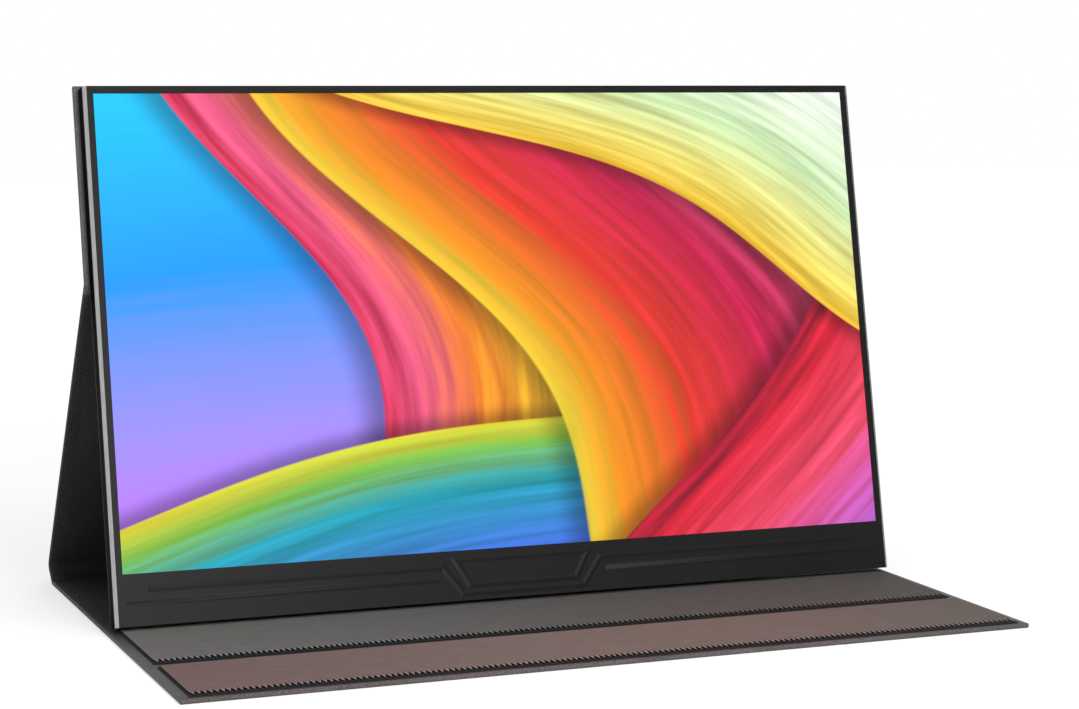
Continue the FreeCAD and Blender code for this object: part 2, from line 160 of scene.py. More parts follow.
def caseCoords(tree, corner=foot, scale=(1, 1, 1)):  # across, back and up the leaning monitor
    coords = addNode(tree, "ShaderNodeTexCoord").outputs["Object"]
    inputs = {"Vector": coords, "Location": corner, "Rotation": (-tilt, 0, 0), "Scale": scale}
    return addNode(tree, "ShaderNodeMapping", inputs, vector_type="TEXTURE").outputs["Vector"]


def splitOf(tree, vector):
    return addNode(tree, "ShaderNodeSeparateXYZ", {"Vector": vector}).outputs


def facingOf(tree):  # which way a face looks
    return splitOf(tree, addNode(tree, "ShaderNodeTexCoord").outputs["Normal"])


def bumpNode(tree, height, strength, distance, normal=None, invert=False):
    inputs = {"Height": height, "Strength": strength, "Distance": distance}
    if normal is not None:
        inputs["Normal"] = normal
    return addNode(tree, "ShaderNodeBump", inputs, invert=invert).outputs["Normal"]


def wireShader(tree, shader, colour, rough, normal):
    for socket, value in (("Base Color", colour), ("Roughness", rough), ("Normal", normal)):
        tree.links.new(value, shader.inputs[socket])


noiseSpan = (0.3, 0.7)  # most of a noise lies between these

# cover leather: small pebbles parted by creases, with a slow mottle
leather = {
    "flap": (0.046, 0.100),  # dark and light tone of each piece
    "leg": (0.046, 0.100),
    "upper": (0.052, 0.114),
    "legInsideShade": 0.44,  # painted shade: share of the tone that the leg's inside keeps
    "behindFootShade": 0.34,  # the same painted shade on the flap's inside, from under the monitor's foot back
    "behindFootShadeReach": (-0.035, 0.012),
    "turned": (0.1, 0.4),  # where a face passes from inside to outside
    "frontHem": (0.004, 0.008),
    "frontTint": (0.92, 0.78, 0.76),
    "pebble": 950.0,
    "crease": 640.0,
    "creaseWidth": 0.10,
    "creaseShare": 0.35,
    "mottle": (45.0, 6.0),  # scale and detail
    "mottleShare": 0.9,
    "toneSpan": (0.25, 0.95),
    "rough": (0.46, 0.60),
    "shine": 0.2,
    "pebbleRelief": (0.5, 0.0005),  # strength and depth
    "creaseRelief": (0.6, 0.0002),
    "pores": (2600.0, 4.0),
    "poreRelief": (0.15, 0.0002),
}


# painted shade on the inside faces of the flap and the leg, and a warm tint on the flap's front hem
def shadeInside(tree, name, coords, colour):
    facing = facingOf(tree)
    outward, kept = facing["Y"], leather["legInsideShade"]
    if name == "flap":
        outward = mathNode(tree, "MAXIMUM", outward, mathNode(tree, "MULTIPLY", facing["Z"], -1.0))
        place = splitOf(tree, coords)["Y"]
        reach = [foot.y + way for way in leather["behindFootShadeReach"]]
        kept = spread(tree, place, reach, (1.0, leather["behindFootShade"]), smooth=True)
        hem = [flapLow.y + way for way in leather["frontHem"]]
        front = spread(tree, place, hem, (0.0, 1.0))
        tint = twoTone(tree, front, (0.0, 1.0), (leather["frontTint"], grey(1.0)))
        colour = tinted(tree, colour, tint)
    outside = spread(tree, outward, leather["turned"], (0.0, 1.0))
    return dimmed(tree, colour, mathNode(tree, "MAXIMUM", outside, kept))


def makeLeather(name):
    mat, tree, shader = startMaterial(name + "Leather")
    coords = objectCoords(tree)
    pebbles = cells(tree, coords, leather["pebble"], "SMOOTH_F1")
    lines = cells(tree, coords, leather["crease"], "DISTANCE_TO_EDGE")
    plateau = spread(tree, lines, (0.0, leather["creaseWidth"]), (0.0, 1.0), smooth=True)
    mottle = noise(tree, coords, *leather["mottle"])
    tone = mathNode(tree, "MULTIPLY_ADD", plateau, leather["creaseShare"],
                    mathNode(tree, "MULTIPLY", mottle, leather["mottleShare"]))
    colour = twoTone(tree, tone, leather["toneSpan"], [grey(level) for level in leather[name]])
    if name != "upper":  # the upper panel's inside lies on the monitor, so it gets no painted shade
        colour = shadeInside(tree, name, coords, colour)
    relief = bumpNode(tree, pebbles, *leather["pebbleRelief"], invert=True)
    relief = bumpNode(tree, plateau, *leather["creaseRelief"], relief)
    relief = bumpNode(tree, noise(tree, coords, *leather["pores"]), *leather["poreRelief"], relief)
    wireShader(tree, shader, colour, spread(tree, mottle, noiseSpan, leather["rough"]), relief)
    shader.inputs["Specular IOR Level"].default_value = leather["shine"]
    return mat


# cover lining: short dark nap
lining = {
    # dark and light tone of each piece, partly the lining's own dark grey and partly painted shade
    # inside the cover
    "flap": (0.010, 0.020),
    "leg": (0.021, 0.045),
    "rise": ((0.01, 0.13), (0.85, 1.5)),  # painted shade: the leg's lining darkens towards the heel and is paler towards the mid fold
    "nap": 1500.0,
    "drift": (30.0, 3.0),
    "toneSpan": (0.12, 0.42),
    "rough": (0.70, 0.88),
    "shine": 0.25,
    "relief": (0.35, 0.0003),
}


def makeLining(name):
    mat, tree, shader = startMaterial(name + "Lining")
    coords = objectCoords(tree)
    nap = noise(tree, coords, lining["nap"])
    drift = noise(tree, coords, *lining["drift"])
    tones = [grey(level) for level in lining[name]]
    colour = twoTone(tree, mathNode(tree, "MULTIPLY", nap, drift), lining["toneSpan"], tones)
    if name == "leg":
        # painted shade, darker towards the heel
        height = splitOf(tree, coords)["Z"]
        colour = dimmed(tree, colour, spread(tree, height, *lining["rise"]))
    rough = spread(tree, drift, noiseSpan, lining["rough"])
    wireShader(tree, shader, colour, rough, bumpNode(tree, nap, *lining["relief"]))
    shader.inputs["Specular IOR Level"].default_value = lining["shine"]
    return mat


# grip strips: brushed on top, dark where they are cut with painted shade deepening into the
# notches, a painted highlight on the points of the teeth, and painted light and shade along each
# strip
strip = {
    "toothDepth": 0.0040,
    "toothPitch": 0.00228,
    "root": 0.0012,  # from the notches to the next row of points
    "edgeRound": 0.00012,
    "edgeSteps": 2,
    "baseRound": 0.0002,
    "baseSteps": 3,
}
stripFinish = {
    "front": ((0.124, 0.084, 0.076), (0.172, 0.122, 0.113)),
    "rear": ((0.098, 0.092, 0.087), (0.146, 0.138, 0.131)),
    "paintedLightAndShade": {  # painted light and shade along each strip, from the left end to the right
        "front": [(0.0, (1.0, 0.95, 0.95)), (0.45, (1.10, 1.15, 1.15)),
                  (0.75, (1.0, 1.10, 1.10)), (1.0, (0.70, 0.88, 0.88))],
        "rear": [(0.0, grey(1.05)), (0.3, grey(0.90)), (0.6, grey(0.68)), (1.0, grey(0.56))],
    },
    "upward": (0.5, 0.8),  # where a face passes from cut to top
    "cut": (0.060, 0.005),  # dark cut faces at the points of the teeth, with painted shade deepening into the notches
    "cutReach": 0.6,
    # painted highlight: the top grows paler towards the points of the teeth
    "tip": 2.3,
    "rough": (0.68, 0.82),
    "shine": 0.08,
    "brush": (1, 9, 1),
    "brushGrain": (160.0, 6.0),
    "pores": (1900.0, 3.0),
    "relief": (0.15, 0.0002),
}


def makeStripFinish(name):
    mat, tree, shader = startMaterial(name + "Grip")
    low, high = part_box(name + "_grip_strip")
    brush = noise(tree, objectCoords(tree, stripFinish["brush"]), *stripFinish["brushGrain"])
    pores = noise(tree, objectCoords(tree), *stripFinish["pores"])
    place = splitOf(tree, objectCoords(tree))
    colour = twoTone(tree, brush, noiseSpan, stripFinish[name])
    toothEnd = low.y + strip["toothDepth"]
    # painted highlight on the points of the teeth
    tips = spread(tree, place["Y"], (low.y, toothEnd), (stripFinish["tip"], 1.0))
    colour = dimmed(tree, colour, tips)
    across = spread(tree, place["X"], (low.x, high.x), (0.0, 1.0))
    # painted light and shade along the strip
    colour = tinted(tree, colour, rampNode(tree, across, stripFinish["paintedLightAndShade"][name]))
    onTop = spread(tree, facingOf(tree)["Z"], stripFinish["upward"], (0.0, 1.0))
    # dark cut faces, with painted shade deepening into the notches
    cutEnd = low.y + strip["toothDepth"] * stripFinish["cutReach"]
    cut = spread(tree, place["Y"], (low.y, cutEnd), stripFinish["cut"])
    colour = mixColour(tree, onTop, greyOf(tree, cut), colour)
    rough = spread(tree, brush, noiseSpan, stripFinish["rough"])
    wireShader(tree, shader, colour, rough, bumpNode(tree, pores, *stripFinish["relief"]))
    shader.inputs["Specular IOR Level"].default_value = stripFinish["shine"]
    return mat


# one maker for the moulded, metal and inner finishes, each with its own grain
grained = {"cloud": (18.0, 2.0), "grainShare": 0.7, "cloudShare": 0.3, "depth": 0.0001}


def makeGrained(name, dark, light, rough, scale, stretch=(1, 1, 1), metal=0.0, bump=0.1, shine=0.5):
    mat, tree, shader = startMaterial(name)
    grain = noise(tree, objectCoords(tree, stretch), scale)
    cloud = noise(tree, objectCoords(tree), *grained["cloud"])
    tone = mathNode(tree, "MULTIPLY_ADD", grain, grained["grainShare"],
                    mathNode(tree, "MULTIPLY", cloud, grained["cloudShare"]))
    colour = twoTone(tree, tone, noiseSpan, (dark, light))
    relief = bumpNode(tree, grain, bump, grained["depth"])
    wireShader(tree, shader, colour, spread(tree, tone, noiseSpan, rough), relief)
    shader.inputs["Metallic"].default_value = metal
    shader.inputs["Specular IOR Level"].default_value = shine
    return mat


# side rails: a bright cut bevel, brighter partly as a painted highlight, in front of a dark wall
# with painted shade along its height that pales towards both ends
rail = {
    "bevel": 0.0015,
    "blend": 0.0002,
    # tone of the bevel, partly a painted highlight
    "bright": (0.33, 0.46),
    "wall": [(0.0, 0.045), (0.55, 0.03), (1.0, 0.07)],  # painted shade along the wall, from the foot to the top
    "edgeTint": 0.25,
    "rough": (0.26, 0.38),
    "brush": (4, 4, 0.2),
    "brushGrain": 900.0,
    "relief": (0.06, 0.0001),
}


def makeRail():
    mat, tree, shader = startMaterial("railMetal")
    coords = caseCoords(tree)
    place = splitOf(tree, coords)
    stretched = addNode(tree, "ShaderNodeMapping", {"Vector": coords, "Scale": rail["brush"]})
    brush = noise(tree, stretched.outputs["Vector"], rail["brushGrain"])
    height = spread(tree, place["Z"], (0.0, caseHeight), (0.0, 1.0))
    # painted shade along the wall's height
    wall = rampNode(tree, height, [(at, grey(level)) for at, level in rail["wall"]])
    bevel = twoTone(tree, brush, noiseSpan, [grey(level) for level in rail["bright"]])
    bevelEnd = (rail["bevel"] - rail["blend"], rail["bevel"])
    colour = mixColour(tree, spread(tree, place["Y"], bevelEnd, (0.0, 1.0)), bevel, wall)
    rough = spread(tree, brush, noiseSpan, rail["rough"])
    wireShader(tree, shader, colour, rough, bumpNode(tree, brush, *rail["relief"]))
    shader.inputs["Metallic"].default_value = 1.0
    shader.inputs["Specular Tint"].default_value = (*grey(rail["edgeTint"]), 1)
    return mat


# lit picture: overlapping silk ribbons, cool on the left and warm on the right
picture = {
    "width": 0.34416,
    "height": 0.1961,
    "chin": 0.0212,
    "glow": 1.15,
    "unlit": 0.006,
    "rough": 0.4,
    "shine": 0.04,
    "threads": (1.8, 34.0, 1.0),
    "threadGrain": 1.4,
    "silk": (0.62, 1.15),  # tone of the dark and light threads
    "shadow": 0.05,  # reach of the shadow beside a ribbon, and what is left in it
    "shadowTone": 0.45,
    "edge": 0.004,
}
coolSky = {
    "edge": (0.0, 1.0, 0.0), "wave": (3.2, 0.4, 0.06), "streak": 0.10,
    "stops": [(0.0, (0.60, 0.13, 0.90)), (0.30, (0.32, 0.26, 0.92)), (0.62, (0.01, 0.30, 0.92)),
              (1.0, (0.01, 0.54, 0.94))],
}
ribbons = [  # across, up and start of each edge, its wave, and its colours from that edge
    {"edge": (1.0, 0.20, 0.34), "wave": (4.4, 3.3, 0.070), "streak": 0.10,
     "stops": [(0.0, (0.62, 0.01, 0.06)), (0.05, (0.86, 0.10, 0.24)), (0.13, (0.90, 0.22, 0.02)),
               (0.25, (0.90, 0.58, 0.02)), (0.40, (0.86, 0.14, 0.02)), (0.60, (0.60, 0.01, 0.08))]},
    {"edge": (0.30, -1.0, -0.10), "wave": (5.0, 0.3, 0.050), "streak": 0.08,
     "stops": [(0.0, (0.80, 0.70, 0.03)), (0.06, (0.20, 0.52, 0.06)), (0.14, (0.01, 0.36, 0.46)),
               (0.30, (0.05, 0.16, 0.70))]},
    {"edge": (1.0, 0.34, 0.60), "wave": (4.2, 2.4, 0.070), "streak": 0.12,
     "stops": [(0.0, (0.88, 0.66, 0.04)), (0.06, (0.90, 0.30, 0.01)), (0.18, (0.78, 0.04, 0.02)),
               (0.34, (0.56, 0.01, 0.07)), (0.55, (0.80, 0.10, 0.26))]},
    {"edge": (1.0, -0.42, 0.66), "wave": (3.4, 4.4, 0.060), "streak": 0.12,
     "stops": [(0.0, (0.24, 0.005, 0.03)), (0.05, (0.70, 0.015, 0.04)), (0.18, (0.84, 0.07, 0.14)),
               (0.34, (0.46, 0.12, 0.62)), (0.55, (0.12, 0.20, 0.80))]},
    {"edge": (0.80, 1.0, 1.30), "wave": (4.6, 1.2, 0.070), "streak": 0.10,
     "stops": [(0.0, (0.86, 0.52, 0.02)), (0.08, (0.88, 0.76, 0.16)), (0.22, (0.62, 0.84, 0.46)),
               (0.42, (0.86, 0.93, 0.84))]},
]


def makePicture():
    mat, tree, shader = startMaterial("litPicture")
    corner = foot + caseUp * picture["chin"] - Vector((picture["width"] / 2, 0, 0))
    place = splitOf(tree, caseCoords(tree, corner, (picture["width"], 1, picture["height"])))
    u, v = place["X"], place["Z"]

    def edgeOf(across, up, start, rate, shift, size):  # distance past a waved line, way along it
        past = mathNode(tree, "MULTIPLY_ADD", v, up, -start)
        past = mathNode(tree, "MULTIPLY_ADD", u, across, past)
        way = mathNode(tree, "MULTIPLY_ADD", u, up, mathNode(tree, "MULTIPLY", v, -across))
        swing = mathNode(tree, "SINE", mathNode(tree, "MULTIPLY_ADD", way, rate, shift))
        return mathNode(tree, "MULTIPLY_ADD", swing, -size, past), way

    def threadsOf(past, way):
        pair = addNode(tree, "ShaderNodeCombineXYZ", {"X": way, "Y": past}).outputs[0]
        inputs = {"Vector": pair, "Scale": picture["threads"]}
        stretched = addNode(tree, "ShaderNodeMapping", inputs).outputs[0]
        return noise(tree, stretched, picture["threadGrain"])

    rise, way = edgeOf(*coolSky["edge"], *coolSky["wave"])
    place = mathNode(tree, "MULTIPLY_ADD", threadsOf(rise, way), coolSky["streak"], rise)
    colour = rampNode(tree, place, coolSky["stops"])
    for ribbon in ribbons:
        past, way = edgeOf(*ribbon["edge"], *ribbon["wave"])
        threads = threadsOf(past, way)
        place = mathNode(tree, "MULTIPLY_ADD", threads, ribbon["streak"], past)
        place = mathNode(tree, "SUBTRACT", place, ribbon["streak"] / 2)
        silk = rampNode(tree, place, ribbon["stops"])
        silk = dimmed(tree, silk, spread(tree, threads, noiseSpan, picture["silk"]))
        shade = spread(tree, past, (-picture["shadow"], 0.0), (1.0, picture["shadowTone"]),
                       smooth=True)
        colour = dimmed(tree, colour, shade)
        inside = spread(tree, past, (0.0, picture["edge"]), (0.0, 1.0))
        colour = mixColour(tree, inside, colour, silk)
    tree.links.new(colour, shader.inputs["Emission Color"])
    shader.inputs["Emission Strength"].default_value = picture["glow"]
    shader.inputs["Base Color"].default_value = (*grey(picture["unlit"]), 1)
    shader.inputs["Roughness"].default_value = picture["rough"]
    shader.inputs["Specular IOR Level"].default_value = picture["shine"]
    return mat


# dark and light tone, roughness and grain of each finish
finish = {
    "flapLeather": makeLeather("flap"),
    "legLeather": makeLeather("leg"),
    "upperLeather": makeLeather("upper"),
    "flapLining": makeLining("flap"),
    "legLining": makeLining("leg"),
    "frontGrip": makeStripFinish("front"),
    "rearGrip": makeStripFinish("rear"),
    "stripBase": makeGrained("stripBase", grey(0.004), grey(0.009), (0.6, 0.8), 900.0,
                             bump=0.2, shine=0.15),
    "bezel": makeGrained("bezelPlastic", grey(0.003), grey(0.007), (0.38, 0.46), 2400.0,
                         bump=0.10, shine=0.09),
    "rail": makeRail(),
    "housing": makeGrained("housingMetal", grey(0.045), grey(0.060), (0.42, 0.55), 2200.0,
                           metal=0.6, bump=0.08),
    "picture": makePicture(),
    "key": makeGrained("keyPlastic", grey(0.014), grey(0.022), (0.4, 0.5), 1800.0, bump=0.08),
    "socketMetal": makeGrained("socketMetal", grey(0.50), grey(0.62), (0.22, 0.34), 900.0,
                               metal=1.0, bump=0.04),
    "innerPlastic": makeGrained("innerPlastic", grey(0.012), grey(0.022), (0.45, 0.6), 1200.0),
    "cardBoard": makeGrained("cardBoard", grey(0.24, 0.08), grey(0.34, 0.08), (0.8, 0.95), 700.0,
                             bump=0.3),
    "magnet": makeGrained("magnetPlate", grey(0.42), grey(0.52), (0.2, 0.35), 500.0,
                          metal=1.0, bump=0.03),
    "screw": makeGrained("screwSteel", grey(0.10), grey(0.16), (0.3, 0.45), 900.0,
                         metal=1.0, bump=0.05),
    "tray": makeGrained("traySteel", grey(0.46), grey(0.56), (0.3, 0.45), 400.0,
                        stretch=(0.3, 6, 6), metal=1.0, bump=0.04),
    "whiteFilm": makeGrained("whiteFilm", grey(0.78), grey(0.86), (0.5, 0.65), 600.0, bump=0.05),
    "clearGuide": makeGrained("lightGuide", (0.74, 0.80, 0.82), (0.82, 0.87, 0.88), (0.1, 0.18),
                              300.0, bump=0.02),
    "cellGlass": makeGrained("cellGlass", grey(0.03), grey(0.045), (0.08, 0.14), 300.0, bump=0.01),
    "circuit": makeGrained("solderMask", (0.012, 0.075, 0.035), (0.03, 0.14, 0.07), (0.3, 0.45),
                           320.0, stretch=(1, 1, 6), bump=0.12),
    "ribbon": makeGrained("ribbonFilm", (0.36, 0.18, 0.03), (0.50, 0.28, 0.06), (0.3, 0.4), 800.0,
                          stretch=(8, 1, 1), bump=0.08),
    "lead": makeGrained("leadRubber", grey(0.012), grey(0.022), (0.45, 0.6), 1500.0),
}
print("finishes made:", len(finish))

# CAD nodes that stay, by finish
keptNodes = {
    "bezel": ["front_bezel", "top_wall", "bottom_wall"],
    "rail": ["left_rail", "right_rail"],
    "housing": ["rear_housing"],
    "picture": ["front_polariser"],
    "key": ["power_button", "plus_button", "minus_button"],
    "socketMetal": ["usb_c_lower", "usb_c_upper", "mini_hdmi"],
    "innerPlastic": ["audio_jack", "key_switches", "left_speaker", "right_speaker", "panel_frame",
                     "board_insulator"],
    "cardBoard": ["flap_board", "spine_board", "leg_board", "upper_board"],
    "magnet": ["flap_magnets", "upper_magnets", "case_magnets"],
    "screw": ["housing_screws", "board_screws"],
    "tray": ["panel_tray"],
    "whiteFilm": ["film_stack", "reflector_sheet", "led_bar"],
    "clearGuide": ["light_guide"],
    "cellGlass": ["display_cell"],
    "circuit": ["main_board", "driver_board"],
    "ribbon": ["display_ribbon"],
    "lead": ["speaker_leads"],
}
softEdges = {
    "weld": 0.00001,
    "segments": 3,
    "angle": math.radians(35),
    "width": {"front_bezel": 0.00012, "left_rail": 0.0004, "right_rail": 0.0004,
              "top_wall": 0.0002, "bottom_wall": 0.0002, "rear_housing": 0.00015},
}


def addBevel(obj, width, segments, angle):
    bevel = obj.modifiers.new("softEdge", "BEVEL")
    bevel.width = width
    bevel.segments = segments
    bevel.limit_method = "ANGLE"
    bevel.angle_limit = angle


def dressNodes():
    for name, nodes in keptNodes.items():
        for node in nodes:
            mesh = frame["nodes"][node].data
            mesh.materials.clear()
            mesh.materials.append(finish[name])
    for node, width in softEdges["width"].items():  # break the sharp corners of the case
        obj = frame["nodes"][node]
        weld = obj.modifiers.new("weld", "WELD")
        weld.merge_threshold = softEdges["weld"]
        addBevel(obj, width, softEdges["segments"], softEdges["angle"])


dressNodes()
print("CAD nodes dressed")

# cover: each piece starts as a slab, and its open end is swept on round the folds
cover = {
    "foldRadius": 0.0030,  # toe and heel, in the middle of the thickness
    "midRadius": 0.0020,
    "foldSteps": 12,
    "corner": 0.0006,
    "cornerSteps": 6,
    "edgeRound": 0.0007,
    "edgeSteps": 3,
    "hem": 0.006,
    "liningThick": 0.00025,
    "liningProud": 0.00003,
    "liningCorner": 0.001,
    "seamBelowMid": 0.004,
    "midReach": 0.0025,  # leather each side of the mid fold
}
tiny = 1e-6
sharpAngle = math.radians(50)  # edges past this stay sharp


def foldTangent(turn, radius):
    return radius * math.tan(abs(turn) / 2)


spineLine = folds["heel_fold"] - folds["toe_fold"]
legLine = folds["mid_fold"] - folds["heel_fold"]
spineAngle = math.atan2(spineLine.z, spineLine.y)
legAngle = math.atan2(legLine.z, legLine.y)
upperAngle = math.pi / 2 - tilt
toeTurn = spineAngle
heelTurn = legAngle - spineAngle
midTurn = upperAngle - legAngle
toeCut = foldTangent(toeTurn, cover["foldRadius"])
heelCut = foldTangent(heelTurn, cover["foldRadius"])
midCut = foldTangent(midTurn, cover["midRadius"])
flapRun = folds["toe_fold"].y - flapLow.y - toeCut
spineHalf = (spineLine.length - toeCut - heelCut) / 2
legRun = legLine.length - heelCut - midCut - cover["seamBelowMid"]
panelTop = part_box("upper_skin")[1].z - coverThick / 2 * math.cos(upperAngle)
upperRun = (panelTop - folds["mid_fold"].z) / math.sin(upperAngle) - midCut


def along(angle):
    return Vector((0, math.cos(angle), math.sin(angle)))


def inward(angle):
    return Vector((0, -math.sin(angle), math.cos(angle)))


def bevelEdges(bm, edges, radius, segments):
    bmesh.ops.bevel(bm, geom=edges, offset=radius, offset_type="OFFSET", segments=segments,
                    profile=0.5, affect="EDGES", material=-1)


def newOf(made, kind):
    return [g for g in made if isinstance(g, kind)]


def sweepOn(bm, loop, point, angle, steps):
    for kind, amount, *radius in steps:
        if kind == "run":
            made = bmesh.ops.extrude_edge_only(bm, edges=loop)["geom"]
            verts = set(newOf(made, bmesh.types.BMVert))
            loop = [e for e in newOf(made, bmesh.types.BMEdge) if verts.issuperset(e.verts)]
            bmesh.ops.translate(bm, verts=list(verts), vec=along(angle) * amount)
            point = point + along(angle) * amount
        else:
            centre = point + inward(angle) * math.copysign(radius[0], amount)
            verts = {v for e in loop for v in e.verts}
            made = bmesh.ops.spin(bm, geom=loop + list(verts), cent=centre, axis=(1, 0, 0),
                                  angle=amount, steps=cover["foldSteps"], use_duplicate=False)
            loop = newOf(made["geom_last"], bmesh.types.BMEdge)
            point = centre + Matrix.Rotation(amount, 3, "X") @ (point - centre)
            angle += amount
    return loop


def layPanel(start, angle, run, steps, half, thick, lift=0.0, corner=0.0, edgeRound=0.0):
    bm = bmesh.new()
    bmesh.ops.create_cube(bm, size=1.0)
    bmesh.ops.scale(bm, vec=(2 * half, run, thick), verts=bm.verts)
    bmesh.ops.translate(bm, verts=bm.verts, vec=(0, run / 2, 0))
    if corner:
        uprights = [e for e in bm.edges if all(v.co.y < tiny for v in e.verts)
                    and abs(e.verts[0].co.x - e.verts[1].co.x) < tiny]
        bevelEdges(bm, uprights, corner, cover["cornerSteps"])
    if edgeRound:
        def staysSharp(edge):
            ends = [v.co.y for v in edge.verts]
            upright = abs(edge.verts[0].co.z - edge.verts[1].co.z) > tiny
            return upright or min(ends) > run - tiny or (not corner and max(ends) < tiny)

        rounded = [e for e in bm.edges if not staysSharp(e)]
        bevelEdges(bm, rounded, edgeRound, cover["edgeSteps"])
    ends = [f for f in bm.faces if all(v.co.y > run - tiny for v in f.verts)]
    loop = [e for f in ends for e in f.edges]
    bmesh.ops.delete(bm, geom=ends, context="FACES_ONLY")
    bmesh.ops.translate(bm, verts=bm.verts, vec=(0, 0, lift))
    bmesh.ops.rotate(bm, verts=bm.verts, cent=(0, 0, 0), matrix=Matrix.Rotation(angle, 3, "X"))
    bmesh.ops.translate(bm, verts=bm.verts, vec=start)
    loop = sweepOn(bm, loop, start + along(angle) * run, angle, steps)
    bmesh.ops.edgeloop_fill(bm, edges=loop)
    bmesh.ops.recalc_face_normals(bm, faces=bm.faces)
    return bm


def pathLength(run, steps, lift):
    length = run
    for kind, amount, *radius in steps:
        length += amount if kind == "run" else abs(amount) * radius[0] - amount * lift
    return length


def finishPiece(bm, name, mat):
    mesh = bpy.data.meshes.new(name)
    bm.to_mesh(mesh)
    bm.free()
    mesh.materials.append(mat)
    mesh.shade_smooth()
    mesh.set_sharp_from_angle(angle=sharpAngle)
    obj = bpy.data.objects.new(name, mesh)
    scene.collection.objects.link(obj)
    return obj


def keepFlat(obj):  # large faces stay flat beside their rounded edges
    weighted = obj.modifiers.new("flatFaces", "WEIGHTED_NORMAL")
    weighted.keep_sharp = True


toeFold = ("turn", toeTurn, cover["foldRadius"])
heelFold = ("turn", heelTurn, cover["foldRadius"])
midFold = ("turn", -midTurn, cover["midRadius"])
frontEdge = Vector((0, flapLow.y, coverThick / 2))
spineMiddle = folds["toe_fold"] + along(spineAngle) * (toeCut + spineHalf)
topEdge = folds["mid_fold"] + along(upperAngle) * (upperRun + midCut)


def makeLeatherPiece(name, start, angle, run, steps, corner, nodes):
    bm = layPanel(start, angle, run, steps, coverHalf, coverThick, corner=corner,
                  edgeRound=cover["edgeRound"])
    obj = finishPiece(bm, name, finish[name])
    keepFlat(obj)
    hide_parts(*nodes)
    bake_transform(obj)


def makeLiningPiece(name, start, angle, run, steps, corner, nodes):
    half = coverHalf - cover["hem"]
    lift = coverThick / 2 + cover["liningProud"] - cover["liningThick"] / 2
    bm = layPanel(start, angle, run, steps, half, cover["liningThick"], lift=lift, corner=corner)
    obj = finishPiece(bm, name, finish[name])
    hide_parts(*nodes)
    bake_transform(obj)
    flat = (2 * half, pathLength(run, steps, lift))
    print(name, "flat size", flat)


# the seams of the leather and the lining lie in the middle of the spine and below the mid fold
flapSteps = [toeFold, ("run", spineHalf)]
legSteps = [heelFold, ("run", legRun)]
upperSteps = [midFold, ("run", cover["seamBelowMid"])]
makeLeatherPiece("flapLeather", frontEdge, 0.0, flapRun, flapSteps, cover["corner"],
                 ["flap_skin", "toe_fold"])
makeLeatherPiece("legLeather", spineMiddle, spineAngle, spineHalf, legSteps, 0.0,
                 ["spine_skin", "heel_fold", "leg_skin"])
makeLeatherPiece("upperLeather", topEdge, upperAngle + math.pi, upperRun, upperSteps,
                 cover["corner"], ["mid_fold", "upper_skin", "upper_lining"])
makeLiningPiece("flapLining", frontEdge + along(0) * cover["hem"], 0.0, flapRun - cover["hem"],
                flapSteps, cover["liningCorner"], ["flap_lining"])
makeLiningPiece("legLining", spineMiddle, spineAngle, spineHalf, legSteps, 0.0,
                ["spine_lining", "leg_lining"])
print("cover laid")


# each strip is a toothed top on a dark base; its grid has a front, a middle and a back row
def setRows(bm, half, front, back):
    rows = {-1: front, 0: front + strip["toothDepth"] + strip["root"], 1: back}
    for vert in bm.verts:
        vert.co = (vert.co.x * half, rows[round(vert.co.y)], vert.co.z)


def makeStrip(name):
    low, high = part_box(name + "_grip_strip")
    count = round((high.x - low.x) / strip["toothPitch"])
    bm = bmesh.new()
    bmesh.ops.create_grid(bm, x_segments=2 * count, y_segments=2, size=1.0)
    setRows(bm, high.x, low.y, high.y)
    frontRow = [v for v in bm.verts if abs(v.co.y - low.y) < tiny]
    frontRow.sort(key=lambda v: v.co.x)
    valleys = frontRow[::2]  # between the teeth
    bmesh.ops.translate(bm, verts=valleys, vec=(0, strip["toothDepth"], 0))
    bmesh.ops.translate(bm, verts=bm.verts, vec=(0, 0, low.z))
    raised = bmesh.ops.extrude_face_region(bm, geom=bm.faces[:])["geom"]
    raisedVerts = newOf(raised, bmesh.types.BMVert)
    bmesh.ops.translate(bm, verts=raisedVerts, vec=(0, 0, high.z - low.z))
    bmesh.ops.recalc_face_normals(bm, faces=bm.faces)
    top = finishPiece(bm, name + "StripTop", finish[name + "Grip"])
    addBevel(top, strip["edgeRound"], strip["edgeSteps"], sharpAngle)
    keepFlat(top)
    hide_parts(name + "_grip_strip")
    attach(top, "flap")

    low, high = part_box(name + "_strip_base")
    bm = bmesh.new()
    bmesh.ops.create_cube(bm, size=1.0)
    bmesh.ops.scale(bm, vec=high - low, verts=bm.verts)
    bmesh.ops.translate(bm, verts=bm.verts, vec=(low + high) / 2)
    bevelEdges(bm, bm.edges[:], strip["baseRound"], strip["baseSteps"])
    base = finishPiece(bm, name + "StripBase", finish["stripBase"])
    keepFlat(base)
    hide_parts(name + "_strip_base")
    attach(base, "flap")


for stripName in ("front", "rear"):
    makeStrip(stripName)
print("grip strips made")

# floor, world and lamps
studio = {
    "floorSize": 8.0,
    "floorFade": (0.3, 1.5),  # the floor's own glow grows over this distance from the object
    "floorGlow": (0.60, 0.88),  # low enough near the object for its shadow to stay
    "floorShade": 0.45,
    "floorPlain": 0.82,
    "worldLight": 0.38,
    "aim": (0, 0, 0.08),
    "lamps": {  # place, power, width and height
        "key": ((0.1, -1.1, 1.7), 14.0, 1.2, 1.2),
        "top": ((0.0, 0.1, 1.9), 8.0, 1.4, 1.4),
        "front": ((-0.05, -1.55, 0.35), 20.0, 0.3, 0.8),
        "strip": ((0.47, -1.15, 1.0), 2.0, 1.1, 0.3),  # for the chin's raised lines
    },
}


